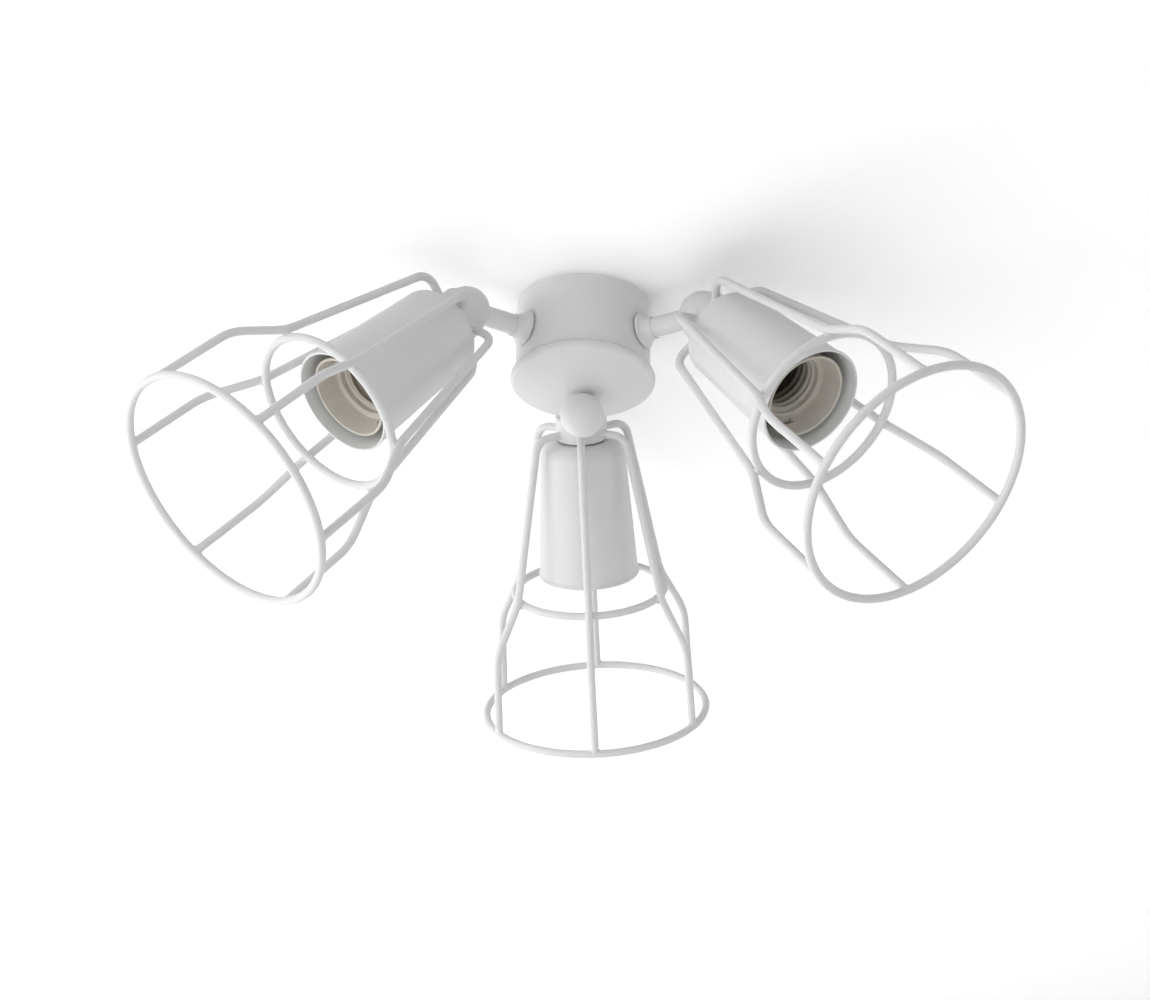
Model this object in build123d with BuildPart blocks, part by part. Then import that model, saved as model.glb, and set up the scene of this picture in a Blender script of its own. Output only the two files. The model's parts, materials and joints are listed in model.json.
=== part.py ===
from build123d import *
import os
from math import atan2, cos, radians, sin, sqrt

os.makedirs("parts", exist_ok=True)

# Ceiling fan light kit: a round hub that hangs under a fan, with three short arms.
# Each arm turns in the hub's wall and ends in a hollow ball. A lamp head tilts on the ball.
# The origin is the centre of the hub's top face, where it meets the fan. Sizes are in millimetres.

# Three lamps, as seen from below and in front: near left, near right and far
lamp_azimuths = {1: 210.0, 2: 330.0, 3: 90.0}
lamp_tilts = {1: 42.0, 2: 41.0, 3: 46.3}
lamp_clocks = {1: -15.0, 2: -4.0, 3: 5.5}
arm_swivel = -6.0
tilt_lowest = 20.0
tilt_highest = 75.0

# Hub shell and its domed bottom cap
hub_radius = 32.5
hub_wall = 1.2
hub_height = 37.0
hub_edge_round = 1.0
seam_round = 0.3
cap_overhang = 2.4
cap_wall = 1.4
cap_land = 0.7
cap_flare = 1.4
cap_side = 3.45
cap_dome = 6.75
cap_cove_round = 0.6
cap_flare_round = 2.0
cap_rim_round = 2.7
cap_lip_height = 4.0

# Ball knob whose stem holds the cap, and the nut on the stem inside the cap
knob_radius = 10.6
knob_gap = 0.3
knob_stem_radius = 3.0
knob_stem_overhang = 1.5
knob_nut_rim = 2.0
knob_nut_thickness = 3.0

# Holes in the hub's top
fixing_circle_radius = 23.0
fixing_hole_radius = 2.25
fixing_azimuth = 30.0
fixing_count = 3
cable_hole_radius = 7.0
grommet_bore_radius = 5.0
grommet_flange_radius = 9.0
grommet_flange_thickness = 1.6
grommet_nose = 0.6
grommet_recess = 0.2

# Mains terminal inside the hub
block_length = 26.0
block_width = 14.0
block_height = 11.5
block_offset = 19.0
pole_pitch = 8.5
pole_count = 3
clamp_radius = 2.1
clamp_wall = 0.7
clamp_inset = 1.0
pole_depth = 7.0
terminal_screw_radius = 1.3
terminal_screw_spread = 3.6
terminal_screw_recess = 0.8
block_screw_radius = 1.5
block_screw_head_radius = 2.7
block_screw_head = 1.6
block_screw_recess = 0.2

# Arm tube, its trumpet collar and the nut and washer inside the hub
arm_drop = 22.2
arm_reach = 64.6
arm_radius = 5.0
arm_wall = 1.4
arm_thread_end = 2.2
collar_spread = 3.8
collar_land = 0.9
collar_length = 6.2
collar_lip = 0.5
collar_gap = 0.3
washer_rim = 2.5
washer_thickness = 0.8
washer_wall_gap = 0.35
locknut_rim = 1.5
locknut_thickness = 4.0
nut_sides = 6

# Hollow ball with the slot that the head's stud runs in
ball_radius = 11.2
ball_wall = 1.8
plug_rim = 2.0
slot_clearance = 0.25

# Stud through the head, the shoe on it inside the ball and the neck outside the ball
seat_clearance = 0.3
stud_radius = 4.0
stud_wall = 1.25
stud_overhang = 2.0
shoe_rim = 2.8
shoe_start = 2.8
neck_wall = 1.8
neck_start = 1.7
neck_floor = 2.4
neck_round = 0.9
neck_step = 0.8
neck_step_rim = 5.0

# Lamp cup and the nut that holds it on the stud
cup_back_radius = 21.2
cup_flare = 4.4
cup_length = 72.6
cup_wall = 0.8
cup_shoulder_round = 7.5
cup_nut_rim = 2.0
cup_nut_thickness = 3.0

# Wire cage, with its lengths taken along the lamp from where the spokes start
spoke_wire_radius = 2.0
ring_wire_radius = 2.0
spoke_count = 6
spoke_setback = 3.7
spoke_crown_gap = 2.2
spoke_crown_bend = 8.0
mid_ring_length = 86.0
mid_ring_radius = 38.7
weld_gap = 0.02
knee_bend = 36.0
knee_rounds = 6
shoulder_length = 110.8
shoulder_radius = 56.0
shoulder_bend = 30.0
cage_length = 153.4
end_ring_radius = 57.7

# Lampholder: a cap with the stud's entry and a body with the screw mouth
holder_gap = 16.3
holder_boss_rim = 3.0
holder_boss = 3.0
holder_wall = 2.0
holder_cap_length = 15.0
holder_cap_taper = 0.6
holder_cap_round = 3.0
holder_spigot = 3.0
holder_radius = 19.2
holder_body_length = 37.2
holder_rim_flare = 1.3
holder_rim_wall = 1.3
holder_rim_length = 5.0
mouth_wall = 1.9
mouth_depth = 10.8
entry_radius = 14.7
entry_depth = 3.0
thread_radius = 13.35
thread_length = 14.0
chamber_step = 1.3
holder_floor = 4.0
window_count = 2
window_width = 11.0
window_height = 3.5
window_clocks = {1: 0.0, 2: 36.5, 3: 20.0}

# Lampholder's contacts in the bottom of the mouth and its terminal posts behind them
tongue_width = 5.0
tongue_thickness = 0.5
tongue_foot = 6.0
tongue_foot_end = 10.0
tongue_tip = 3.0
tongue_rise = 4.2
side_tongue_gap = 0.5
side_tongue_foot = 2.2
side_tongue_length = 5.0
post_size = 5.5
post_height = 6.0
post_offset = 8.0
post_wire_radius = 1.25

# Shared
push_clearance = 0.1
thread_clearance = 0.05
bearing_clearance = 0.08
overrun = 3.0
quarter_turn = 90.0
full_turn = 360.0

# Worked out for the hub and the arms
hub_bore_radius = hub_radius - hub_wall
cap_radius = hub_radius + cap_overhang
cap_lip_radius = hub_bore_radius - push_clearance
cap_bore_radius = cap_lip_radius - hub_wall
cap_side_end = hub_height + cap_land + cap_flare + cap_side
cap_dome_end = cap_side_end + cap_dome
cap_inner_drop = cap_dome * (cap_bore_radius / cap_radius) ** 2
cap_inner_edge = cap_dome_end - cap_wall - cap_inner_drop
arm_bore_radius = arm_radius - arm_wall
washer_radius = arm_radius + washer_rim
washer_end = sqrt(hub_bore_radius**2 - washer_radius**2) - washer_wall_gap
locknut_end = washer_end - washer_thickness
arm_inner_end = locknut_end - locknut_thickness - arm_thread_end
ball_bore_radius = ball_radius - ball_wall
plug_radius = arm_radius + plug_rim

# Worked out for the heads, as places along the lamp from the ball's centre and radii about it
neck_seat_radius = ball_radius + seat_clearance
shoe_sphere_radius = ball_bore_radius - seat_clearance
neck_radius = ball_radius + neck_wall
neck_end = neck_seat_radius + neck_floor
cup_start = neck_end + neck_step
cup_mouth = cup_start + cup_length
cup_mouth_radius = cup_back_radius + cup_flare
spoke_start = neck_end - spoke_setback
spoke_crown_radius = cup_back_radius + spoke_crown_gap + spoke_wire_radius
mid_ring = spoke_start + mid_ring_length
shoulder = spoke_start + shoulder_length
end_ring = spoke_start + cage_length
holder_start = cup_start + holder_gap
stud_end = holder_start + holder_boss + holder_wall + stud_overhang
holder_joint = holder_start + holder_cap_length
holder_rim = holder_joint + holder_body_length
holder_rim_radius = holder_radius + holder_rim_flare
mouth_floor = holder_rim - mouth_depth
thread_start = mouth_floor - entry_depth
chamber_radius = thread_radius - chamber_step
chamber_floor = holder_joint + holder_floor

# The hub's plane has X down its axis and Y outwards
hub_plane = Plane(origin=(0, 0, 0), x_dir=(0, 0, -1), z_dir=(0, 1, 0))


def turned_plane(plane, angle, about):
    """The same plane turned by an angle about a direction through its origin."""
    axis = Axis((0, 0, 0), about)
    return Plane(
        origin=plane.origin,
        x_dir=plane.x_dir.rotate(axis, angle),
        z_dir=plane.z_dir.rotate(axis, angle),
    )


def arm_plane(lamp):
    """Local X runs out along the arm, local Y is square to the arm in the head's tilt plane."""
    azimuth = radians(lamp_azimuths[lamp])
    level = Plane(
        origin=(0, 0, -arm_drop),
        x_dir=(cos(azimuth), sin(azimuth), 0),
        z_dir=(sin(azimuth), -cos(azimuth), 0),
    )
    return turned_plane(level, arm_swivel, level.x_dir)


def ball_plane(lamp):
    """The arm's plane with its origin at the ball's centre."""
    plane = arm_plane(lamp)
    return Plane(
        origin=plane.origin + plane.x_dir * arm_reach,
        x_dir=plane.x_dir,
        z_dir=plane.z_dir,
    )


def head_plane(lamp, tilt=None, clock=0):
    """Local X runs from the ball's centre out along the lamp, local Y is square to it."""
    level = ball_plane(lamp)
    tilt = lamp_tilts[lamp] if tilt is None else tilt
    tilted = turned_plane(level, tilt - quarter_turn, level.z_dir)
    return turned_plane(tilted, clock, tilted.x_dir)


def lathe(plane, corners, mode=Mode.ADD):
    """Revolve a closed outline of (X, Y, corner radius) about the plane's X axis."""
    with BuildSketch(plane) as section:
        with BuildLine():
            FilletPolyline(
                *[(x, y) for x, y, _ in corners],
                radius=[bend for _, _, bend in corners],
                close=True,
            )
        make_face()
    revolve_about(plane, section, mode)


def bar(plane, start, end, radius, mode=Mode.ADD):
    """A round bar along the plane's X axis."""
    across = Plane(origin=plane.origin + plane.x_dir * start, z_dir=plane.x_dir)
    with BuildSketch(across) as section:
        Circle(radius)
    extrude(section.sketch, amount=end - start, mode=mode)


def hexagon_nut(plane, start, thickness, flats, bore):
    """A hexagon nut on the plane's X axis. Flats is half the size across the flats."""
    across = Plane(
        origin=plane.origin + plane.x_dir * start, x_dir=plane.y_dir, z_dir=plane.x_dir
    )
    with BuildSketch(across) as section:
        RegularPolygon(flats, nut_sides, major_radius=False)
        Circle(bore, mode=Mode.SUBTRACT)
    extrude(section.sketch, amount=thickness)


def sphere_place(radius, out, side=1):
    """Place along X, and out from it, of a point on a sphere about the plane's origin."""
    return (side * sqrt(radius**2 - out**2), out)


def sphere_arc(radius, start, end, side=1):
    """Arc of a sphere's outline between two distances out from the X axis."""
    ThreePointArc(
        sphere_place(radius, start, side),
        sphere_place(radius, (start + end) / 2, side),
        sphere_place(radius, end, side),
    )


def revolve_about(plane, section, mode=Mode.ADD):
    """Revolve a finished sketch about the plane's X axis."""
    revolve(section.sketch, axis=Axis(plane.origin, plane.x_dir), mode=mode)


def save(piece, name):
    """Label a finished piece and write it under the same name."""
    piece.part.label = name
    export_step(piece.part, f"parts/{name}.step")


def dome_place(edge, rim_radius, drop, out):
    """Place on a dome, out from its axis, where the rim is at the edge and the crown a drop below."""
    dome_radius = (rim_radius**2 + drop**2) / (2 * drop)
    return (edge + drop - dome_radius + sqrt(dome_radius**2 - out**2), out)


def save_hub_body():
    with BuildPart() as hub_body:
        lathe(
            hub_plane,
            [
                (0, cable_hole_radius, 0),
                (0, hub_radius, hub_edge_round),
                (hub_height, hub_radius, seam_round),
                (hub_height, hub_bore_radius, 0),
                (hub_wall, hub_bore_radius, 0),
                (hub_wall, cable_hole_radius, 0),
            ],
        )
        with PolarLocations(fixing_circle_radius, fixing_count, start_angle=fixing_azimuth):
            Hole(fixing_hole_radius, depth=hub_wall)
        with Locations((pole_pitch / 2, block_offset, 0)):
            Hole(block_screw_radius, depth=hub_wall)
        for lamp in lamp_azimuths:
            hole_radius = arm_radius + bearing_clearance
            bar(arm_plane(lamp), arm_inner_end, hub_radius + overrun, hole_radius, Mode.SUBTRACT)
    save(hub_body, "hub_body")


def save_hub_cap():
    flare_start = hub_height + cap_land
    flare_end = flare_start + cap_flare
    hole_radius = knob_stem_radius + bearing_clearance
    outer = (cap_side_end, cap_radius, cap_dome)
    inner = (cap_inner_edge, cap_bore_radius, cap_inner_drop)
    with BuildPart() as hub_cap:
        with BuildSketch(hub_plane) as section:
            with BuildLine():
                Polyline(
                    (hub_height, cap_lip_radius),
                    (hub_height, hub_radius),
                    (flare_start, hub_radius),
                    (flare_end, cap_radius),
                    (cap_side_end, cap_radius),
                )
                ThreePointArc(
                    (cap_side_end, cap_radius),
                    dome_place(*outer, cap_radius / 2),
                    dome_place(*outer, hole_radius),
                )
                Line(dome_place(*outer, hole_radius), dome_place(*inner, hole_radius))
                ThreePointArc(
                    dome_place(*inner, hole_radius),
                    dome_place(*inner, cap_bore_radius / 2),
                    (cap_inner_edge, cap_bore_radius),
                )
                Polyline(
                    (cap_inner_edge, cap_bore_radius),
                    (hub_height - cap_lip_height, cap_bore_radius),
                    (hub_height - cap_lip_height, cap_lip_radius),
                    (hub_height, cap_lip_radius),
                )
            make_face()
            for corner, bend in (
                ((cap_side_end, cap_radius), cap_rim_round),
                ((flare_end, cap_radius), cap_flare_round),
                ((flare_start, hub_radius), cap_cove_round),
                ((hub_height, hub_radius), seam_round),
            ):
                fillet(section.vertices().sort_by_distance(corner)[0], bend)
        revolve_about(hub_plane, section)
    save(hub_cap, "hub_cap")


def save_cap_knob():
    nut_flats = knob_stem_radius + knob_nut_rim
    nut_corner = nut_flats / cos(radians(full_turn / nut_sides / 2))
    nut_seat = dome_place(cap_inner_edge, cap_bore_radius, cap_inner_drop, nut_corner)[0]
    nut_start = nut_seat - thread_clearance - knob_nut_thickness
    stem_start = nut_start - knob_stem_overhang
    stem_radius = knob_stem_radius - thread_clearance
    knob_centre = cap_dome_end + knob_gap + knob_radius
    knob_plane = Plane(
        origin=hub_plane.origin + hub_plane.x_dir * knob_centre,
        x_dir=hub_plane.x_dir,
        z_dir=hub_plane.z_dir,
    )
    with BuildPart() as cap_knob:
        with BuildSketch(knob_plane) as section:
            with BuildLine():
                ThreePointArc(
                    sphere_place(knob_radius, stem_radius, side=-1), (0, knob_radius), (knob_radius, 0)
                )
                Polyline(
                    (knob_radius, 0),
                    (stem_start - knob_centre, 0),
                    (stem_start - knob_centre, stem_radius),
                    sphere_place(knob_radius, stem_radius, side=-1),
                )
            make_face()
        revolve_about(knob_plane, section)
    save(cap_knob, "cap_knob")

    with BuildPart() as cap_knob_nut:
        hexagon_nut(hub_plane, nut_start, knob_nut_thickness, nut_flats, knob_stem_radius)
    save(cap_knob_nut, "cap_knob_nut")


def save_cable_grommet():
    body_radius = cable_hole_radius - thread_clearance
    flange_end = hub_wall + grommet_flange_thickness
    with BuildPart() as cable_grommet:
        lathe(
            hub_plane,
            [
                (grommet_recess, grommet_bore_radius, 0),
                (grommet_recess, body_radius, 0),
                (hub_wall, body_radius, 0),
                (hub_wall, grommet_flange_radius, 0),
                (flange_end, grommet_flange_radius, 0),
                (flange_end, body_radius, 0),
                (flange_end + grommet_nose, body_radius, 0),
                (flange_end + grommet_nose, grommet_bore_radius, 0),
            ],
        )
    save(cable_grommet, "cable_grommet")


def pole_places():
    """Places of the terminal's poles along X, evenly about the middle."""
    return [pole_pitch * (number - (pole_count - 1) / 2) for number in range(pole_count)]


def save_terminal():
    block_top = -hub_wall
    block_bottom = block_top - block_height
    pole_height = block_top - pole_depth
    block_front = block_offset - block_width / 2
    front = Plane(origin=(0, block_front, pole_height), x_dir=(1, 0, 0), z_dir=(0, -1, 0))
    clamp_front = front.offset(-clamp_inset)
    clamp_length = block_width - 2 * clamp_inset
    under = Plane.XY.offset(block_bottom)
    pole_centres = [(x, 0) for x in pole_places()]
    screw_places = [
        (x, block_offset + side * terminal_screw_spread) for x in pole_places() for side in (-1, 1)
    ]
    screw_place = (pole_pitch / 2, block_offset)
    screw_reach = pole_height - block_bottom

    with BuildPart() as terminal_block:
        with BuildSketch(Plane.XY.offset(block_top)):
            with Locations((0, block_offset)):
                Rectangle(block_length, block_width)
        extrude(amount=-block_height)
        with BuildSketch(front):
            with Locations(*pole_centres):
                Circle(clamp_radius + thread_clearance)
        extrude(amount=-block_width, mode=Mode.SUBTRACT)
        with BuildSketch(under):
            with Locations(*screw_places):
                Circle(terminal_screw_radius + push_clearance)
        extrude(amount=screw_reach, mode=Mode.SUBTRACT)
        with BuildSketch(under):
            with Locations(screw_place):
                Circle(block_screw_radius + push_clearance)
        extrude(amount=block_height, mode=Mode.SUBTRACT)
    save(terminal_block, "terminal_block")

    with BuildPart() as terminal_clamps:
        with BuildSketch(clamp_front):
            with Locations(*pole_centres):
                Circle(clamp_radius)
                Circle(clamp_radius - clamp_wall, mode=Mode.SUBTRACT)
        extrude(amount=-clamp_length)
        with BuildSketch(under):
            with Locations(*screw_places):
                Circle(terminal_screw_radius + thread_clearance)
        extrude(amount=screw_reach, mode=Mode.SUBTRACT)
    save(terminal_clamps, "terminal_clamps")

    with BuildPart() as terminal_screws:
        with BuildSketch(under.offset(terminal_screw_recess)):
            with Locations(*screw_places):
                Circle(terminal_screw_radius)
        extrude(amount=screw_reach - terminal_screw_recess)
    save(terminal_screws, "terminal_screws")

    with BuildPart() as block_screw:
        with BuildSketch(under):
            with Locations(screw_place):
                Circle(block_screw_head_radius)
        extrude(amount=-block_screw_head)
        with BuildSketch(under):
            with Locations(screw_place):
                Circle(block_screw_radius - thread_clearance)
        extrude(amount=block_height + hub_wall - block_screw_recess)
    save(block_screw, "block_screw")


def save_arm(lamp):
    plane = arm_plane(lamp)
    ball_centre = ball_plane(lamp)
    tube_radius = arm_radius - thread_clearance
    collar_start = hub_radius + collar_gap
    plug_end = thread_clearance - sphere_place(ball_bore_radius, plug_radius)[0]

    with BuildPart() as arm_tube:
        with BuildSketch(ball_centre) as section:
            with BuildLine():
                sphere_arc(ball_radius, tube_radius, plug_radius, side=-1)
                Polyline(
                    sphere_place(ball_radius, plug_radius, side=-1),
                    (plug_end, plug_radius),
                    (plug_end, arm_bore_radius),
                    (arm_inner_end - arm_reach, arm_bore_radius),
                    (arm_inner_end - arm_reach, tube_radius),
                    sphere_place(ball_radius, tube_radius, side=-1),
                )
            make_face()
        revolve_about(ball_centre, section)
    save(arm_tube, f"arm_tube_{lamp}")

    with BuildPart() as arm_collar:
        land_end = collar_start + collar_land
        collar_end = collar_start + collar_length
        tip_radius = arm_radius + collar_lip
        collar_radius = arm_radius + collar_spread
        with BuildSketch(plane) as section:
            with BuildLine():
                Polyline(
                    (collar_end, tip_radius),
                    (collar_end, arm_radius),
                    (collar_start, arm_radius),
                    (collar_start, collar_radius),
                    (land_end, collar_radius),
                )
                TangentArc((collar_end, tip_radius), (land_end, collar_radius), tangent=(-1, 0))
            make_face()
        revolve_about(plane, section)
    save(arm_collar, f"arm_collar_{lamp}")

    with BuildPart() as arm_washer:
        bar(plane, locknut_end, washer_end, washer_radius)
        bar(plane, locknut_end, washer_end, arm_radius, Mode.SUBTRACT)
    save(arm_washer, f"arm_washer_{lamp}")

    with BuildPart() as arm_locknut:
        start = locknut_end - locknut_thickness
        hexagon_nut(plane, start, locknut_thickness, arm_radius + locknut_rim, arm_radius)
    save(arm_locknut, f"arm_locknut_{lamp}")

    with BuildPart() as ball:
        plug_hole = plug_radius + thread_clearance
        with BuildSketch(ball_centre) as section:
            with BuildLine():
                ThreePointArc(
                    sphere_place(ball_radius, plug_hole, side=-1), (0, ball_radius), (ball_radius, 0)
                )
                Line((ball_radius, 0), (ball_bore_radius, 0))
                ThreePointArc(
                    (ball_bore_radius, 0),
                    (0, ball_bore_radius),
                    sphere_place(ball_bore_radius, plug_hole, side=-1),
                )
                Line(
                    sphere_place(ball_bore_radius, plug_hole, side=-1),
                    sphere_place(ball_radius, plug_hole, side=-1),
                )
            make_face()
        revolve_about(ball_centre, section)
        slot_half_width = stud_radius + slot_clearance
        reach = ball_radius + overrun
        for tilt in (tilt_lowest, tilt_highest):
            bar(head_plane(lamp, tilt), 0, reach, slot_half_width, Mode.SUBTRACT)
        low = radians(tilt_lowest - quarter_turn)
        high = radians(tilt_highest - quarter_turn)
        middle = (low + high) / 2
        far = reach / cos(middle - low)
        with BuildSketch(ball_centre) as sector:
            with BuildLine():
                Polyline(
                    (0, 0),
                    (far * cos(low), far * sin(low)),
                    (far * cos(middle), far * sin(middle)),
                    (far * cos(high), far * sin(high)),
                    (0, 0),
                )
            make_face()
        extrude(sector.sketch, amount=slot_half_width, both=True, mode=Mode.SUBTRACT)
    save(ball, f"ball_{lamp}")


def save_swivel(lamp):
    plane = head_plane(lamp)
    shoe_radius = stud_radius + shoe_rim
    with BuildPart() as swivel_shoe:
        with BuildSketch(plane) as section:
            with BuildLine():
                sphere_arc(shoe_sphere_radius, stud_radius, shoe_radius)
                Polyline(
                    sphere_place(shoe_sphere_radius, shoe_radius),
                    (shoe_start, shoe_radius),
                    (shoe_start, stud_radius),
                    sphere_place(shoe_sphere_radius, stud_radius),
                )
            make_face()
        revolve_about(plane, section)
    save(swivel_shoe, f"swivel_shoe_{lamp}")

    with BuildPart() as swivel_stud:
        bar(plane, shoe_start, stud_end, stud_radius - thread_clearance)
        bar(plane, shoe_start, stud_end, stud_radius - stud_wall, Mode.SUBTRACT)
    save(swivel_stud, f"swivel_stud_{lamp}")

    with BuildPart() as neck:
        seat_edge = sqrt(neck_seat_radius**2 - neck_start**2)
        step_radius = stud_radius + neck_step_rim
        with BuildSketch(plane) as section:
            with BuildLine():
                sphere_arc(neck_seat_radius, stud_radius, seat_edge)
                FilletPolyline(
                    (neck_start, seat_edge),
                    (neck_start, neck_radius),
                    (neck_end, neck_radius),
                    (neck_end, step_radius),
                    (cup_start, step_radius),
                    (cup_start, stud_radius),
                    sphere_place(neck_seat_radius, stud_radius),
                    radius=[neck_round, neck_round, 0, 0, 0],
                )
            make_face()
        revolve_about(plane, section)
    save(neck, f"neck_{lamp}")


def knee_corner():
    """Corner of a spoke's route whose bend lies against the outside of the middle ring."""
    along, out = mid_ring, mid_ring_radius
    for _ in range(knee_rounds):
        slope_in = atan2(out - spoke_crown_radius, along - spoke_start)
        slope_out = atan2(shoulder_radius - out, shoulder - along)
        lean = (slope_in + slope_out) / 2
        bend_gap = knee_bend * (1 / cos((slope_out - slope_in) / 2) - 1)
        offset = spoke_wire_radius + ring_wire_radius + weld_gap - bend_gap
        along = mid_ring - offset * sin(lean)
        out = mid_ring_radius + offset * cos(lean)
    return (along, out)


def save_cage(lamp):
    plane = head_plane(lamp)

    with BuildPart() as mid_ring_wire:
        with BuildSketch(plane) as section:
            with Locations((mid_ring, mid_ring_radius)):
                Circle(ring_wire_radius)
        revolve_about(plane, section)
    save(mid_ring_wire, f"mid_ring_{lamp}")

    with BuildPart() as end_ring_wire:
        with BuildSketch(plane) as section:
            with Locations((end_ring, end_ring_radius)):
                Circle(spoke_wire_radius)
        revolve_about(plane, section)
    save(end_ring_wire, f"end_ring_{lamp}")

    with BuildPart() as cage_spokes:
        for number in range(spoke_count):
            clock = lamp_clocks[lamp] + full_turn * number / spoke_count
            spoke_plane = head_plane(lamp, clock=clock)
            with BuildLine(spoke_plane) as route:
                FilletPolyline(
                    (spoke_start, neck_radius - spoke_wire_radius),
                    (spoke_start, spoke_crown_radius),
                    knee_corner(),
                    (shoulder, shoulder_radius),
                    (end_ring, end_ring_radius),
                    radius=[spoke_crown_bend, knee_bend, shoulder_bend],
                )
            with BuildSketch(Plane(origin=route.line @ 0, z_dir=route.line % 0)) as section:
                Circle(spoke_wire_radius)
            sweep(section.sketch, path=route.line)
        bar(plane, 0, spoke_start + overrun, neck_radius, Mode.SUBTRACT)
        with BuildSketch(plane) as ring_section:
            with Locations((end_ring, end_ring_radius)):
                Circle(spoke_wire_radius + weld_gap)
        revolve_about(plane, ring_section, Mode.SUBTRACT)
    save(cage_spokes, f"cage_spokes_{lamp}")


def save_cup(lamp):
    plane = head_plane(lamp)
    with BuildPart() as cup:
        lathe(
            plane,
            [
                (cup_start, stud_radius, 0),
                (cup_start, cup_back_radius, cup_shoulder_round),
                (cup_mouth, cup_mouth_radius, 0),
                (cup_mouth, cup_mouth_radius - cup_wall, 0),
                (cup_start + cup_wall, cup_back_radius - cup_wall, cup_shoulder_round - cup_wall),
                (cup_start + cup_wall, stud_radius, 0),
            ],
        )
    save(cup, f"cup_{lamp}")

    with BuildPart() as cup_nut:
        start = cup_start + cup_wall
        hexagon_nut(plane, start, cup_nut_thickness, stud_radius + cup_nut_rim, stud_radius)
    save(cup_nut, f"cup_nut_{lamp}")


def save_holder(lamp):
    plane = head_plane(lamp)
    boss_radius = stud_radius + holder_boss_rim
    cap_floor = holder_start + holder_boss + holder_wall
    spigot_radius = holder_radius - holder_wall
    cap_bore = spigot_radius + push_clearance
    with BuildPart() as holder_cap:
        lathe(
            plane,
            [
                (holder_start, stud_radius, 0),
                (holder_start, boss_radius, 0),
                (holder_start + holder_boss, boss_radius, 0),
                (holder_start + holder_boss, holder_radius - holder_cap_taper, holder_cap_round),
                (holder_joint, holder_radius, 0),
                (holder_joint, cap_bore, 0),
                (cap_floor, cap_bore, holder_cap_round - holder_wall),
                (cap_floor, stud_radius, 0),
            ],
        )
    save(holder_cap, f"holder_cap_{lamp}")

    mouth_floor_radius = holder_radius - mouth_wall
    with BuildPart() as holder_body:
        lathe(
            plane,
            [
                (holder_joint - holder_spigot, spigot_radius - holder_wall, 0),
                (holder_joint - holder_spigot, spigot_radius, 0),
                (holder_joint, spigot_radius, 0),
                (holder_joint, holder_radius, 0),
                (holder_rim - holder_rim_length, holder_radius, 0),
                (holder_rim, holder_rim_radius, 0),
                (holder_rim, holder_rim_radius - holder_rim_wall, 0),
                (mouth_floor, mouth_floor_radius, 0),
                (mouth_floor, entry_radius, 0),
                (thread_start, entry_radius, 0),
                (thread_start, thread_radius, 0),
                (thread_start - thread_length, thread_radius, 0),
                (thread_start - thread_length, chamber_radius, 0),
                (chamber_floor, chamber_radius, 0),
                (chamber_floor, 0, 0),
                (holder_joint, 0, 0),
                (holder_joint, spigot_radius - holder_wall, 0),
            ],
        )
        for number in range(window_count):
            turn = window_clocks[lamp] + full_turn * number / window_count
            window_plane = turned_plane(plane, turn, plane.x_dir)
            with BuildSketch(window_plane) as window:
                with Locations((mouth_floor + window_height / 2, mouth_floor_radius)):
                    Rectangle(window_height, 2 * holder_wall)
            extrude(window.sketch, amount=window_width / 2, both=True, mode=Mode.SUBTRACT)
    save(holder_body, f"holder_body_{lamp}")


def save_holder_contacts(lamp):
    """A sprung tongue for the bulb's tip, an upright tongue for its thread, and two posts."""
    plane = head_plane(lamp)
    foot_top = chamber_floor + tongue_thickness
    spring = chamber_floor + tongue_rise
    side_face = -(chamber_radius - side_tongue_gap)
    side_end = chamber_floor + side_tongue_length
    tongue_outlines = [
        [
            (chamber_floor, tongue_foot),
            (chamber_floor, tongue_foot_end),
            (foot_top, tongue_foot_end),
            (foot_top, tongue_foot),
            (spring + tongue_thickness, tongue_tip),
            (spring + tongue_thickness, -tongue_tip),
            (spring, -tongue_tip),
            (spring, tongue_tip),
        ],
        [
            (chamber_floor, side_face),
            (chamber_floor, side_face + side_tongue_foot),
            (foot_top, side_face + side_tongue_foot),
            (foot_top, side_face + tongue_thickness),
            (side_end, side_face + tongue_thickness),
            (side_end, side_face),
        ],
    ]
    with BuildPart() as holder_contacts:
        for outline in tongue_outlines:
            with BuildSketch(plane) as tongue:
                with BuildLine():
                    Polyline(*outline, close=True)
                make_face()
            extrude(tongue.sketch, amount=tongue_width / 2, both=True)
    save(holder_contacts, f"holder_contacts_{lamp}")

    post_centres = [
        (holder_joint - post_height / 2, -post_offset),
        (holder_joint - post_height / 2, post_offset),
    ]
    with BuildPart() as holder_terminals:
        with BuildSketch(plane) as posts:
            with Locations(*post_centres):
                Rectangle(post_height, post_size)
                Circle(post_wire_radius, mode=Mode.SUBTRACT)
        extrude(posts.sketch, amount=post_size / 2, both=True)
    save(holder_terminals, f"holder_terminals_{lamp}")


save_hub_body()
save_hub_cap()
save_cap_knob()
save_cable_grommet()
save_terminal()
for lamp_number in lamp_azimuths:
    save_arm(lamp_number)
    save_swivel(lamp_number)
    save_cage(lamp_number)
    save_cup(lamp_number)
    save_holder(lamp_number)
    save_holder_contacts(lamp_number)
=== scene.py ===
import json
from math import atan, cos, pi, radians, sin, sqrt

import bmesh
import bpy
from mathutils import Matrix, Vector, noise


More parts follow.
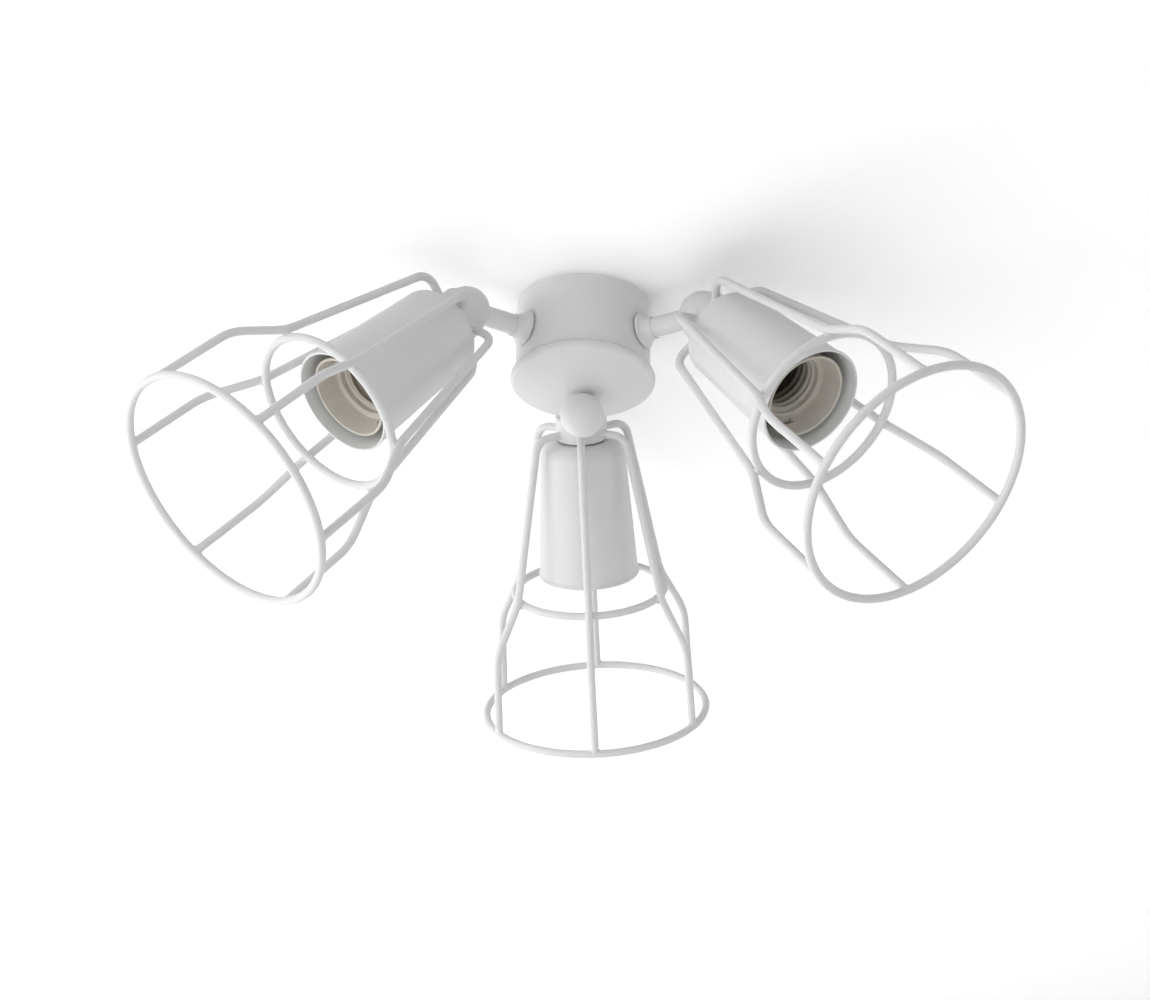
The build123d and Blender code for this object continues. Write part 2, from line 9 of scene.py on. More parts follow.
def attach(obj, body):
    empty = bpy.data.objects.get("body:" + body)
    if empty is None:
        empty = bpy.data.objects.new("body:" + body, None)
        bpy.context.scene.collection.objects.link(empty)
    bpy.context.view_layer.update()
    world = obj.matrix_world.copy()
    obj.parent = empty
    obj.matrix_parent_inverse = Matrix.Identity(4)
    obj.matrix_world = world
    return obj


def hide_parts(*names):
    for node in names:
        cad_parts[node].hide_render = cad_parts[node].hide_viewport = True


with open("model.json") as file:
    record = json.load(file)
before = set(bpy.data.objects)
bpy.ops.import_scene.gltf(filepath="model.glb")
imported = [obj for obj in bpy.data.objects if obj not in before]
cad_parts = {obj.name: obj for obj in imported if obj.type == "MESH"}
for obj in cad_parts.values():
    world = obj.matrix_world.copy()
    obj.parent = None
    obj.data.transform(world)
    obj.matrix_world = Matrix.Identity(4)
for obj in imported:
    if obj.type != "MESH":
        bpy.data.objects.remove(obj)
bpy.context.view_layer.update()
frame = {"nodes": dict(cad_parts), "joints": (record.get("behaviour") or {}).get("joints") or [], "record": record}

# Sizes are in metres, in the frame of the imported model: the origin is the middle of the hub's top
# face, +Z is up and the camera stands towards -Y, below the part.

lamps = (1, 2, 3)
joints = {joint["name"]: joint for joint in frame["joints"]}
lowest_tilt = 20.0
clock_angles = {1: -15.0, 2: -4.0, 3: 5.5}

# Neck and cup, with lengths taken along the lamp from the ball's centre
neck_radius = 0.0130
stud_radius = 0.0040
cup_start = 0.0147
cup_mouth = 0.0873
cup_back_radius = 0.0212
cup_mouth_radius = 0.0256
cup_wall = 0.0008
cup_shoulder = 0.0075
cup_hem = 0.00035
cup_hem_length = 0.0016
cup_lip_round = 0.0005
cup_lip_inner_round = 0.0003

# Wire cage
spoke_count = 6
spoke_start = 0.0102
spoke_wire = 0.0020
ring_wire = 0.0020
mid_ring = 0.0962
mid_ring_radius = 0.0387
end_ring = 0.1636
end_ring_radius = 0.0577

# Lampholder's body with its screw mouth
holder_joint = 0.0460
holder_spigot = 0.0030
holder_radius = 0.0192
holder_wall = 0.0020
holder_rim = 0.0832
holder_rim_length = 0.0050
holder_rim_radius = 0.0205
holder_rim_wall = 0.0013
holder_edge = 0.00045
holder_flare_bend = 0.004
mouth_floor = 0.0724
mouth_floor_radius = 0.0173
entry_radius = 0.0147
entry_round = 0.0005
thread_top = 0.0694
thread_end = 0.0554
thread_radius = 0.01335
thread_pitch = 0.00363
thread_depth = 0.0008
thread_fade = 0.0012
thread_rows = 72
first_thread_row = 3
thread_top_round = 0.0004
chamber_radius = 0.01205
chamber_floor = 0.0500
chamber_edge = 0.0003
chamber_floor_round = 0.0008
window_count = 2
window_width = 0.0110
window_height = 0.0035
window_clocks = {1: 0.0, 2: 36.5, 3: 20.0}

# Sprung contacts in the bottom of the mouth. Each is a sheet strip whose middle line runs through
# points of (height over the chamber's floor, place across the mouth, corner radius).
strip_width = 0.0050
strip_thickness = 0.0005
strip_bevel = 0.00008
strip_nose = 3
strip_nose_width = 0.86
side_strip_place = -0.0113
contact_strips = (
    (
        (strip_thickness / 2, 0.0100, 0.0),
        (strip_thickness / 2, 0.0066, 0.0011),
        (0.0042, 0.0032, 0.0011),
        (0.0047, 0.0, 0.004),
        (0.0042, -0.0030, 0.0),
    ),
    (
        (strip_thickness / 2, side_strip_place + 0.0022, 0.0),
        (strip_thickness / 2, side_strip_place, 0.0006),
        (0.0036, side_strip_place + 0.0001, 0.002),
        (0.0050, side_strip_place + 0.0008, 0.0),
    ),
)

# Weld beads
flare_spread = 0.0009
flare_rise = 0.0011
mid_ring_nugget = (0.0021, 0.0021, 0.0010)
end_ring_nugget = (0.0012, 0.0026, 0.0019)


class HeadFrame:
    """X runs from the ball's centre out along the lamp; Y and Z are square to it."""

    def __init__(self, lamp):
        swivel = joints[f"arm_swivel_{lamp}"]
        tilt = joints[f"head_tilt_{lamp}"]
        self.origin = Vector(tilt["pos_m"])
        side = Vector(tilt["axis"]).normalized()
        out = Vector(swivel["axis"]).normalized()
        turn = lowest_tilt - tilt["range_deg"][0] - 90.0
        rotation = Matrix.Rotation(radians(turn), 3, side)
        self.x = rotation @ out
        self.y = rotation @ side.cross(out)
        self.z = side

    def point(self, along, out, angle=0.0):
        """A point at a distance along the lamp and out from its axis, at an angle from Y."""
        spread = self.y * cos(angle) + self.z * sin(angle)
        return self.origin + self.x * along + spread * out

    def place(self, along, across, up):
        """A point given along X, Y and Z."""
        return self.origin + self.x * along + self.y * across + self.z * up

    def spoke_angles(self, lamp):
        first = radians(clock_angles[lamp])
        return [first + 2 * pi * number / spoke_count for number in range(spoke_count)]


heads = {lamp: HeadFrame(lamp) for lamp in lamps}


# Materials

# Name of the mask for the shade painted deep in each lampholder's mouth
shade_depth_name = "mouth_shade_depth"


class Nodes:
    """Short calls for building one material's node tree."""

    def __init__(self, name, colour, roughness, metallic=0.0):
        self.material = bpy.data.materials.new(name)
        self.material.use_nodes = True
        self.tree = self.material.node_tree
        self.shader = self.tree.nodes["Principled BSDF"]
        self.shader.inputs["Base Color"].default_value = (*colour, 1.0)
        self.shader.inputs["Roughness"].default_value = roughness
        self.shader.inputs["Metallic"].default_value = metallic
        self.material.diffuse_color = (*colour, 1.0)
        coordinates = self.tree.nodes.new("ShaderNodeTexCoord")
        self.place = coordinates.outputs["Object"]

    def link(self, output, target):
        self.tree.links.new(output, target)

    def noise(self, scale, detail=2.0, stretch=None):
        texture = self.tree.nodes.new("ShaderNodeTexNoise")
        texture.inputs["Scale"].default_value = scale
        texture.inputs["Detail"].default_value = detail
        place = self.place
        if stretch:
            mapping = self.tree.nodes.new("ShaderNodeMapping")
            mapping.inputs["Scale"].default_value = stretch
            self.link(place, mapping.inputs["Vector"])
            place = mapping.outputs["Vector"]
        self.link(place, texture.inputs["Vector"])
        return texture.outputs["Fac"]

    def ramp(self, value, low, high, start=0.35, end=0.65):
        """Turn a value into a colour between two colours."""
        ramp = self.tree.nodes.new("ShaderNodeValToRGB")
        first, last = ramp.color_ramp.elements
        first.position, last.position = start, end
        first.color, last.color = (*low, 1.0), (*high, 1.0)
        self.link(value, ramp.inputs["Fac"])
        return ramp.outputs["Color"]

    def span(self, value, low, high, start=0.3, end=0.7):
        """Turn a value into a number between two numbers."""
        span = self.tree.nodes.new("ShaderNodeMapRange")
        span.inputs["From Min"].default_value = start
        span.inputs["From Max"].default_value = end
        span.inputs["To Min"].default_value = low
        span.inputs["To Max"].default_value = high
        self.link(value, span.inputs["Value"])
        return span.outputs["Result"]

    def blend(self, share, first, second):
        """Mix two colours by a number from 0 to 1."""
        mix = self.tree.nodes.new("ShaderNodeMix")
        mix.data_type = "RGBA"
        self.link(share, mix.inputs["Factor"])
        for source, entry in ((first, mix.inputs["A"]), (second, mix.inputs["B"])):
            self.link(source, entry)
        return mix.outputs["Result"]

    def attribute(self, name):
        reader = self.tree.nodes.new("ShaderNodeAttribute")
        reader.attribute_name = name
        return reader.outputs["Fac"]

    def bump(self, height, strength, distance, before=None):
        bump = self.tree.nodes.new("ShaderNodeBump")
        bump.inputs["Strength"].default_value = strength
        bump.inputs["Distance"].default_value = distance
        self.link(height, bump.inputs["Height"])
        if before:
            self.link(before, bump.inputs["Normal"])
        return bump.outputs["Normal"]

    def colour(self, output):
        self.link(output, self.shader.inputs["Base Color"])

    def roughness(self, output):
        self.link(output, self.shader.inputs["Roughness"])

    def normal(self, output):
        self.link(output, self.shader.inputs["Normal"])


def white_paint():
    """Powder coat: a fine orange peel, a faint unevenness of shade and a satin shine."""
    nodes = Nodes("white_powder_coat", (0.83, 0.832, 0.83), 0.45)
    nodes.colour(nodes.ramp(nodes.noise(60.0, 3.0), (0.822, 0.825, 0.823), (0.836, 0.838, 0.835)))
    nodes.roughness(nodes.span(nodes.noise(240.0, 3.0), 0.41, 0.48))
    peel = nodes.bump(nodes.noise(1500.0, 2.0), 0.1, 0.00004)
    nodes.normal(nodes.bump(nodes.noise(6000.0, 1.0), 0.05, 0.00002, peel))
    nodes.shader.inputs["Specular IOR Level"].default_value = 0.35
    return nodes.material


def ivory_plastic():
    """Moulded thermoset: warm ivory with faint flow marks, and painted shade, dark brown, deep in the mouth."""
    nodes = Nodes("ivory_thermoset", (0.74, 0.69, 0.62), 0.38)
    skin = nodes.ramp(nodes.noise(150.0, 4.0), (0.62, 0.585, 0.525), (0.66, 0.625, 0.565))
    # Painted shade: the ivory turns dark brown deep in the mouth, where little light reaches
    painted_shade = nodes.ramp(nodes.noise(400.0, 4.0), (0.05, 0.034, 0.024), (0.09, 0.064, 0.046))
    nodes.colour(nodes.blend(nodes.attribute(shade_depth_name), skin, painted_shade))
    nodes.roughness(nodes.span(nodes.noise(500.0, 2.0), 0.34, 0.44))
    nodes.normal(nodes.bump(nodes.noise(2400.0, 2.0), 0.1, 0.00004))
    nodes.shader.inputs["Subsurface Weight"].default_value = 0.06
    nodes.shader.inputs["Subsurface Radius"].default_value = (0.003, 0.002, 0.0012)
    return nodes.material


def terminal_plastic():
    nodes = Nodes("natural_polyamide", (0.78, 0.78, 0.75), 0.42)
    nodes.colour(nodes.ramp(nodes.noise(300.0, 3.0), (0.75, 0.75, 0.72), (0.81, 0.81, 0.78)))
    nodes.roughness(nodes.span(nodes.noise(900.0, 2.0), 0.38, 0.5))
    nodes.normal(nodes.bump(nodes.noise(2600.0, 2.0), 0.1, 0.00005))
    return nodes.material


def grommet_rubber():
    nodes = Nodes("soft_black_rubber", (0.03, 0.03, 0.032), 0.7)
    nodes.colour(nodes.ramp(nodes.noise(500.0, 3.0), (0.022, 0.022, 0.024), (0.045, 0.045, 0.047)))
    nodes.roughness(nodes.span(nodes.noise(700.0, 3.0), 0.6, 0.82))
    nodes.normal(nodes.bump(nodes.noise(3000.0, 3.0), 0.3, 0.0001))
    return nodes.material


def worked_metal(name, low, high, roughness):
    """Drawn or machined metal: fine lines one way and a patchy dullness."""
    middle = tuple((a + b) / 2 for a, b in zip(low, high))
    nodes = Nodes(name, middle, sum(roughness) / 2, 1.0)
    nodes.colour(nodes.ramp(nodes.noise(220.0, 4.0), low, high))
    nodes.roughness(nodes.span(nodes.noise(350.0, 4.0), *roughness))
    nodes.normal(nodes.bump(nodes.noise(1600.0, 2.0, (1.0, 1.0, 0.06)), 0.15, 0.00005))
    return nodes.material


finishes = {
    "white_paint": white_paint(),
    "ivory_plastic": ivory_plastic(),
    "terminal_plastic": terminal_plastic(),
    "grommet_rubber": grommet_rubber(),
    "brass": worked_metal("machined_brass", (0.72, 0.53, 0.24), (0.82, 0.64, 0.33), (0.2, 0.34)),
    "contact_metal": worked_metal(
        "nickelled_strip", (0.6, 0.52, 0.38), (0.74, 0.66, 0.5), (0.22, 0.38)
    ),
    "zinc_steel": worked_metal("zinc_plate", (0.55, 0.57, 0.6), (0.68, 0.7, 0.71), (0.28, 0.46)),
}

slots = {part["node"]: part["material_slot"] for part in frame["record"]["subparts"]}
for node_name, node in frame["nodes"].items():
    for place in range(len(node.material_slots)):
        node.material_slots[place].material = finishes[slots[node_name]]


# Shapes shared by the pieces

turn_steps = 144
bend_steps = 8
sharp_angle = radians(32.0)


def rounded(corners, steps=bend_steps):
    """Points of a closed outline of (along, out, corner radius), with its corners rounded."""
    points = []
    for number, (along, out, bend) in enumerate(corners):
        corner = Vector((along, out))
        if not bend:
            points.append(corner)
            continue
        before = (Vector(corners[number - 1][:2]) - corner).normalized()
        after = (Vector(corners[(number + 1) % len(corners)][:2]) - corner).normalized()
        half = before.angle(after) / 2
        centre = corner + (before + after).normalized() * bend / sin(half)
        first = corner + before * bend / (sin(half) / cos(half)) - centre
        last = corner + after * bend / (sin(half) / cos(half)) - centre
        for step in range(steps + 1):
            arm = first.lerp(last, step / steps)
            points.append(centre + arm.normalized() * bend)
    return points


def place_piece(name, mesh, body, slot, stands_for=()):
    """Link a finished mesh as a piece that rides on a body and takes a record slot's finish."""
    for polygon in mesh.polygons:
        polygon.use_smooth = True
    mesh.set_sharp_from_angle(angle=sharp_angle)
    mesh.materials.clear()
    mesh.materials.append(finishes[slot])
    piece = bpy.data.objects.new(name, mesh)
    bpy.context.scene.collection.objects.link(piece)
    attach(piece, body)
    if stands_for:
        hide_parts(*stands_for)
    return piece


def turned_mesh(name, head, outline, radius_at=None):
    """Turn a closed outline about the lamp's axis. radius_at may change a point's radius by angle."""
    mesh = bmesh.new()
    rings = []
    for along, out in outline:
        if out == 0.0:
            rings.append([mesh.verts.new(head.point(along, 0.0))] * turn_steps)
            continue
        ring = []
        for step in range(turn_steps):
            angle = 2 * pi * step / turn_steps
            radius = radius_at(along, out, angle) if radius_at else out
            ring.append(mesh.verts.new(head.point(along, radius, angle)))
        rings.append(ring)
    for number, ring in enumerate(rings):
        following = rings[(number + 1) % len(rings)]
        for step in range(turn_steps):
            other = (step + 1) % turn_steps
            corners = [ring[step], ring[other], following[other], following[step]]
            unique = list(dict.fromkeys(corners))
            if len(unique) > 2:
                mesh.faces.new(unique)
    bmesh.ops.recalc_face_normals(mesh, faces=mesh.faces)
    data = bpy.data.meshes.new(name)
    mesh.to_mesh(data)
    mesh.free()
    return data


def ease(value):
    """Smooth step from 0 to 1."""
    value = min(max(value, 0.0), 1.0)
    return value * value * (3.0 - 2.0 * value)


# Lamp cup: a spun steel cup whose mouth ends in a small rolled hem

def make_cup(lamp):
    head = heads[lamp]
    slope = (cup_mouth_radius - cup_back_radius) / (cup_mouth - cup_start)
    hem_start = cup_mouth - cup_hem_length
    hem_back = cup_mouth_radius - slope * cup_hem_length
    outline = rounded([
        (cup_start, stud_radius, 0.0),
        (cup_start, cup_back_radius, cup_shoulder),
        (hem_start - cup_hem, hem_back - slope * cup_hem, 0.0),
        (hem_start, hem_back + cup_hem, cup_hem / 2),
        (cup_mouth, cup_mouth_radius + cup_hem, cup_lip_round),
        (cup_mouth, cup_mouth_radius - cup_wall, cup_lip_inner_round),
        (cup_start + cup_wall, cup_back_radius - cup_wall, cup_shoulder - cup_wall),
        (cup_start + cup_wall, stud_radius, 0.0),
    ])
    mesh = turned_mesh(f"cup_spun_{lamp}", head, outline)
    place_piece(f"cup_spun_{lamp}", mesh, f"head_{lamp}", "white_paint", [f"cup_{lamp}"])


# Lampholder body: rounded edges, a rounded screw thread and two small windows

def thread_wave(along, angle):
    """Height of the screw thread's rounded ridge, from 0 to 1."""
    phase = along / thread_pitch - angle / (2 * pi)
    height = 0.5 - 0.5 * cos(2 * pi * phase)
    near_end = ease((along - thread_end) / thread_fade)
    near_top = ease((thread_top - along) / thread_fade)
    return ease(height) * near_end * near_top


def threaded_radius(along, out, angle):
    in_thread = thread_end < along < thread_top and abs(out - thread_radius) < thread_depth / 2
    return out - thread_depth * thread_wave(along, angle) if in_thread else out


def make_holder(lamp):
    head = heads[lamp]
    spigot = holder_radius - holder_wall
    outline = rounded([
        (holder_joint - holder_spigot, spigot - holder_wall, 0.0),
        (holder_joint - holder_spigot, spigot, holder_edge),
        (holder_joint, spigot, 0.0),
        (holder_joint, holder_radius, holder_edge),
        (holder_rim - holder_rim_length, holder_radius, holder_flare_bend),
        (holder_rim, holder_rim_radius, holder_edge),
        (holder_rim, holder_rim_radius - holder_rim_wall, holder_edge),
        (mouth_floor, mouth_floor_radius, entry_round),
        (mouth_floor, entry_radius, entry_round),
        (thread_top, entry_radius, entry_round),
        (thread_top, thread_radius, thread_top_round),
        *[
            (thread_top + (thread_end - thread_top) * row / thread_rows, thread_radius, 0.0)
            for row in range(first_thread_row, thread_rows + 1)
        ],
        (thread_end, chamber_radius, chamber_edge),
        (chamber_floor, chamber_radius, chamber_floor_round),
        (chamber_floor, 0.0, 0.0),
        (holder_joint, 0.0, 0.0),
        (holder_joint, spigot - holder_wall, 0.0),
    ])
    mesh = turned_mesh(f"holder_shell_{lamp}", head, outline, threaded_radius)
    cut = bpy.data.objects.new("cut", mesh)
    windows = bpy.data.objects.new("windows", window_blocks(head, lamp))
    for item in (cut, windows):
        bpy.context.scene.collection.objects.link(item)
    boolean = cut.modifiers.new("windows", "BOOLEAN")
    boolean.object = windows
    boolean.operation = "DIFFERENCE"
    boolean.solver = "EXACT"
    bpy.context.view_layer.update()
    depsgraph = bpy.context.evaluated_depsgraph_get()
    finished = bpy.data.meshes.new_from_object(cut.evaluated_get(depsgraph))
    finished.name = f"holder_shell_{lamp}"
    mark_shade_depth(finished, head)
    for item in (cut, windows):
        bpy.data.objects.remove(item)
    place_piece(
        f"holder_shell_{lamp}", finished, f"head_{lamp}", "ivory_plastic", [f"holder_body_{lamp}"]
    )


def mark_shade_depth(mesh, head):
    """Store how deep each point lies in the mouth, from 0 at its floor to 1 in the chamber: the mask of the shade
    painted there.
    """
    depth = mesh.attributes.new(shade_depth_name, "FLOAT", "POINT")
    for vertex, entry in zip(mesh.vertices, depth.data):
        place = vertex.co - head.origin
        along = place.dot(head.x)
        out = (place - head.x * along).length
        inside = out < entry_radius - holder_edge and along > chamber_floor - holder_edge
        entry.value = ease((mouth_floor - along) / (mouth_floor - thread_end)) if inside else 0.0


def window_blocks(head, lamp):
    """Blocks that cut the windows, just above the mouth's floor."""
    mesh = bmesh.new()
    inner, outer = mouth_floor_radius - holder_wall, holder_radius + holder_wall
    for number in range(window_count):
        angle = radians(window_clocks[lamp]) + 2 * pi * number / window_count
        out = head.y * cos(angle) + head.z * sin(angle)
        side = head.x.cross(out)
        corners = []
        for along in (mouth_floor, mouth_floor + window_height):
            for reach in (inner, outer):
                for half in (-window_width / 2, window_width / 2):
                    point = head.origin + head.x * along + out * reach + side * half
                    corners.append(mesh.verts.new(point))
        for face in ((0, 1, 3, 2), (4, 6, 7, 5), (0, 4, 5, 1), (2, 3, 7, 6), (0, 2, 6, 4), (1, 5, 7, 3)):
            mesh.faces.new([corners[corner] for corner in face])
    bmesh.ops.recalc_face_normals(mesh, faces=mesh.faces)
    data = bpy.data.meshes.new("windows")
    mesh.to_mesh(data)
    mesh.free()
    return data


# Sprung contacts: bent strips, one under the bulb's tip and one beside its thread

def add_strip(mesh, head, points):
    """A strip of sheet that follows points given along X and Y."""
    sections = []
    for number, point in enumerate(points):
        before = points[max(number - 1, 0)]
        after = points[min(number + 1, len(points) - 1)]
        run = (after - before).normalized()
        square = Vector((-run.y, run.x)) * strip_thickness / 2
        from_end = min(number, len(points) - 1 - number) / strip_nose
        narrow = strip_nose_width + (1 - strip_nose_width) * ease(from_end)
        half = strip_width / 2 * narrow
        section = []
        for side, up in ((1, half), (1, -half), (-1, -half), (-1, half)):
            place = point + square * side
            section.append(mesh.verts.new(head.place(place.x, place.y, up)))
        sections.append(section)
    for first, last in zip(sections, sections[1:]):
        for corner in range(4):
            other = (corner + 1) % 4
            mesh.faces.new([first[corner], first[other], last[other], last[corner]])
    mesh.faces.new(sections[0])
    mesh.faces.new(sections[-1])


def make_contacts(lamp):
    head = heads[lamp]
    mesh = bmesh.new()
    for strip in contact_strips:
        add_strip(mesh, head, rounded([(chamber_floor + up, side, bend) for up, side, bend in strip]))
    bmesh.ops.recalc_face_normals(mesh, faces=mesh.faces)
    data = bpy.data.meshes.new(f"contact_springs_{lamp}")
    mesh.to_mesh(data)
    mesh.free()
    piece = place_piece(
        f"contact_springs_{lamp}", data, f"head_{lamp}", "contact_metal", [f"holder_contacts_{lamp}"]
    )
    bevel = piece.modifiers.new("edges", "BEVEL")
    bevel.width = strip_bevel
    bevel.segments = 2


# Weld beads where the cage's wires meet the neck, the middle ring and the end ring

bead_rings = 12
bead_sides = 28


def add_flare(mesh, root, out, along, side, wire, spread, rise, sink):
    """A fillet round a wire's root that spreads onto a curved surface of the given sink."""
    rings = []
    for step in range(bead_rings):
        share = step / (bead_rings - 1)
        swing = share * pi / 2
        radius = wire * 0.99 + spread * (1 - sin(swing))
        height = rise * (1 - cos(swing))
        ring = []
        for number in range(bead_sides):
            angle = 2 * pi * number / bead_sides
            offset = along * cos(angle) * radius + side * sin(angle) * radius
            lift = height - sink(cos(angle) * radius, sin(angle) * radius) * (1 - share)
            wobble = 0.08 * spread * noise.noise((root + offset) * 900.0)
            ring.append(mesh.verts.new(root + offset + out * (lift + wobble)))
        rings.append(ring)
    for first, last in zip(rings, rings[1:]):
        for number in range(bead_sides):
            other = (number + 1) % bead_sides
            mesh.faces.new([first[number], first[other], last[other], last[number]])
    mesh.faces.new(rings[0])
    mesh.faces.new(rings[-1])


def add_nugget(mesh, centre, axes, sizes):
    """A small rounded lump of weld between two crossing wires."""
    made = bmesh.ops.create_icosphere(mesh, subdivisions=3, radius=1.0)
    for vertex in made["verts"]:
        local = vertex.co.copy()
        swell = 1.0 + 0.06 * noise.noise(local * 2.0 + centre * 700.0)
        vertex.co = centre + sum(
            (axis * size * part * swell for axis, size, part in zip(axes, sizes, local)), Vector()
        )


def make_welds(lamp):
    head = heads[lamp]
    mesh = bmesh.new()
    for angle in head.spoke_angles(lamp):
        out = head.y * cos(angle) + head.z * sin(angle)
        side = head.x.cross(out)
        root = head.origin + head.x * spoke_start + out * neck_radius
        add_flare(
            mesh, root, out, head.x, side, spoke_wire, flare_spread, flare_rise,
            lambda along, across: neck_radius - sqrt(neck_radius**2 - across**2),
        )
        crossing = head.origin + head.x * mid_ring + out * (mid_ring_radius + ring_wire)
        add_nugget(mesh, crossing, (head.x, side, out), mid_ring_nugget)
        joint = head.origin + head.x * (end_ring - spoke_wire) + out * end_ring_radius
        add_nugget(mesh, joint, (head.x, side, out), end_ring_nugget)
    data = bpy.data.meshes.new(f"weld_beads_{lamp}")
    bmesh.ops.recalc_face_normals(mesh, faces=mesh.faces)
    mesh.to_mesh(data)
    mesh.free()
    place_piece(f"weld_beads_{lamp}", data, f"head_{lamp}", "white_paint")


for lamp_number in lamps:
    make_cup(lamp_number)
    make_holder(lamp_number)
    make_contacts(lamp_number)
    make_welds(lamp_number)


# Stage: a white ceiling, a pale floor and soft lamps. A stage material bounces light like a pale
# wall and shows itself to the camera a little brighter, shadows kept, so that it reads as white.

ceiling_gap = 0.0004
ceiling_bounce = 0.75
ceiling_seen = 1.62
# Shares of the ceiling's seen brightness by distance from the hub's top: the low shares close to the hub are a
# painted contact shadow round it.
ceiling_painted_shadow = ((0.0325, 0.71), (0.0425, 0.8), (0.06, 0.865), (0.15, 0.88), (0.5, 1.0))
ceiling_hole = 0.0315
floor_height = -1.3
floor_bounce = 0.8
floor_seen = 1.9
floor_shades = ((0.0, 1.0), (0.5, 1.0))
shade_reach = 0.5
stage_radius = 8.0
stage_sides = 96


def stage_material(name, bounce, brightness, shades):
    """Pale where lit and clear from behind. Shades are shares of brightness by distance; shares below 1 near the
    middle are painted shadow.
    """
    material = bpy.data.materials.new(name)
    material.use_nodes = True
    tree = material.node_tree
    tree.nodes.clear()

    def node(kind, operation=None):
        made = tree.nodes.new(kind)
        if operation:
            made.operation = operation
        return made

    path = node("ShaderNodeLightPath")
    seen = node("ShaderNodeMath", "MAXIMUM")
    tree.links.new(path.outputs["Is Camera Ray"], seen.inputs[0])
    tree.links.new(path.outputs["Is Glossy Ray"], seen.inputs[1])
    geometry = node("ShaderNodeNewGeometry")
    spread = node("ShaderNodeVectorMath", "LENGTH")
    tree.links.new(geometry.outputs["Position"], spread.inputs[0])
    share = node("ShaderNodeMath", "DIVIDE")
    share.inputs[1].default_value = shade_reach
    tree.links.new(spread.outputs["Value"], share.inputs[0])
    ramp = node("ShaderNodeValToRGB")
    elements = ramp.color_ramp.elements
    while len(elements) < len(shades):
        elements.new(shade_reach)
    for element, (reach, level) in zip(elements, shades):
        element.position = reach / shade_reach
        element.color = (level, level, level, 1.0)
    tree.links.new(share.outputs[0], ramp.inputs["Fac"])
    bright = node("ShaderNodeMath", "MULTIPLY")
    bright.inputs[1].default_value = brightness
    tree.links.new(ramp.outputs["Color"], bright.inputs[0])
    shade = node("ShaderNodeMapRange")
    shade.inputs["To Min"].default_value = bounce
    tree.links.new(bright.outputs[0], shade.inputs["To Max"])
    tree.links.new(seen.outputs[0], shade.inputs["Value"])
    diffuse = node("ShaderNodeBsdfDiffuse")
    tree.links.new(shade.outputs["Result"], diffuse.inputs["Color"])
    mix = node("ShaderNodeMixShader")
    tree.links.new(geometry.outputs["Backfacing"], mix.inputs["Fac"])
    tree.links.new(diffuse.outputs[0], mix.inputs[1])
    tree.links.new(node("ShaderNodeBsdfTransparent").outputs[0], mix.inputs[2])
    output = node("ShaderNodeOutputMaterial")
    tree.links.new(mix.outputs[0], output.inputs["Surface"])
    return material


def stage_disc(name, height, hole, material, facing_down):
    """A wide flat ring, with a hole in its middle or closed there by a last small face."""
    corners, faces = [], []
    for radius in (hole or stage_radius / stage_sides, stage_radius):
        for side in range(stage_sides):
            angle = 2 * pi * side / stage_sides
            corners.append((radius * cos(angle), radius * sin(angle), height))
    for side in range(stage_sides):
        other = (side + 1) % stage_sides
        faces.append([side, stage_sides + side, stage_sides + other, other])
    if not hole:
        faces.append(list(range(stage_sides)))
    if facing_down:
        faces = [face[::-1] for face in faces]
    mesh = bpy.data.meshes.new(name)
    mesh.from_pydata(corners, [], faces)
    mesh.materials.append(material)
    disc = bpy.data.objects.new(name, mesh)
    bpy.context.scene.collection.objects.link(disc)


ceiling_white = stage_material("ceiling_white", ceiling_bounce, ceiling_seen, ceiling_painted_shadow)
floor_pale = stage_material("floor_pale", floor_bounce, floor_seen, floor_shades)
stage_disc("ceiling", ceiling_gap, ceiling_hole, ceiling_white, facing_down=True)
stage_disc("floor", floor_height, 0.0, floor_pale, facing_down=False)

world = bpy.data.worlds.new("soft_white")
bpy.context.scene.world = world
world.use_nodes = True
background = world.node_tree.nodes["Background"]
background.inputs["Color"].default_value = (1.0, 1.0, 1.0, 1.0)
light_path = world.node_tree.nodes.new("ShaderNodeLightPath")
direction = world.node_tree.nodes.new("ShaderNodeTexCoord")
height = world.node_tree.nodes.new("ShaderNodeSeparateXYZ")
world.node_tree.links.new(direction.outputs["Generated"], height.inputs[0])
glow = world.node_tree.nodes.new("ShaderNodeMapRange")
glow.inputs["From Min"].default_value = -0.05
glow.inputs["From Max"].default_value = 0.05
glow.inputs["To Min"].default_value = 1.5
glow.inputs["To Max"].default_value = 0.85
world.node_tree.links.new(height.outputs["Z"], glow.inputs["Value"])
world_level = world.node_tree.nodes.new("ShaderNodeMapRange")
world.node_tree.links.new(glow.outputs["Result"], world_level.inputs["To Min"])
world_level.inputs["To Max"].default_value = 1.0
world.node_tree.links.new(light_path.outputs["Is Camera Ray"], world_level.inputs["Value"])
world.node_tree.links.new(world_level.outputs["Result"], background.inputs["Strength"])


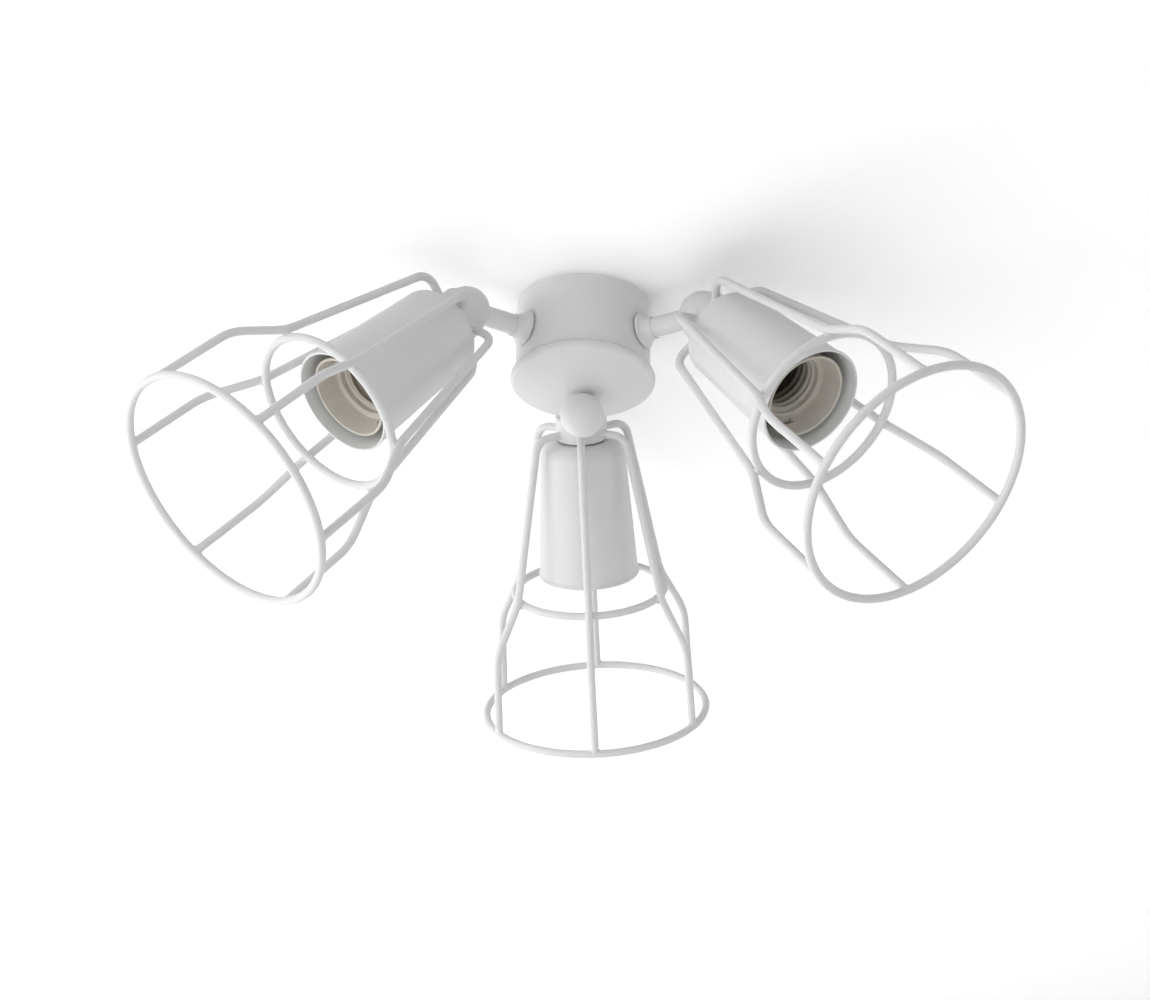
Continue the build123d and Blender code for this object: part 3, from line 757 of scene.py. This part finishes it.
def studio_lamp(name, place, aim, size, power):
    data = bpy.data.lights.new(name, "AREA")
    data.shape = "RECTANGLE"
    data.size, data.size_y = size
    data.energy = power
    light = bpy.data.objects.new(name, data)
    light.location = place
    light.rotation_mode = "QUATERNION"
    light.rotation_quaternion = (Vector(aim) - Vector(place)).to_track_quat("-Z", "Y")
    bpy.context.scene.collection.objects.link(light)


part_middle = (0.0, 0.03, -0.08)
soft_box = (1.2, 1.2)
studio_lamp("key_left", (-2.0, -0.1, -0.4), part_middle, soft_box, 12.1)
studio_lamp("front_left", (-1.6, -1.3, -0.75), part_middle, soft_box, 8.1)
studio_lamp("back_left", (-1.3, 1.5, -0.7), part_middle, soft_box, 8.6)
studio_lamp("right", (2.0, 0.1, -0.4), part_middle, soft_box, 3.2)
studio_lamp("back_low", (0.1, 0.9, -1.2), part_middle, soft_box, 2.5)
studio_lamp("below", (0.0, -0.2, -1.25), part_middle, soft_box, 3.4)


# Camera at the photograph's angle

focal = 2594.25
distance = 1.2697
below, across, roll = radians(31.43), radians(0.80), radians(-0.71)
origin_pixel = (583.67, 307.52)
frame_size = (1150.0, 1000.0)
sensor = 36.0

forward = Vector((sin(across) * cos(below), cos(across) * cos(below), sin(below)))
right = Vector((cos(across), -sin(across), 0.0))
up = right.cross(forward)
rows = Matrix((right, up, forward))
pan = atan((origin_pixel[0] - frame_size[0] / 2) / focal)
nod = atan((frame_size[1] / 2 - origin_pixel[1]) / focal)
turn_pan = Matrix(((cos(pan), 0, sin(pan)), (0, 1, 0), (-sin(pan), 0, cos(pan))))
turn_nod = Matrix(((1, 0, 0), (0, cos(nod), sin(nod)), (0, -sin(nod), cos(nod))))
turn_roll = Matrix(((cos(roll), -sin(roll), 0), (sin(roll), cos(roll), 0), (0, 0, 1)))
rows = turn_pan @ turn_nod @ turn_roll @ rows

camera_data = bpy.data.cameras.new("camera")
camera_data.sensor_width = sensor
camera_data.lens = focal * sensor / frame_size[0]
camera_data.clip_start, camera_data.clip_end = 0.05, 50.0
camera = bpy.data.objects.new("camera", camera_data)
axes = Matrix((rows[0], rows[1], -rows[2])).transposed()
camera.matrix_world = Matrix.Translation(forward * -distance) @ axes.to_4x4()
bpy.context.scene.collection.objects.link(camera)
bpy.context.scene.camera = camera
bpy.context.scene.view_settings.view_transform = "Standard"
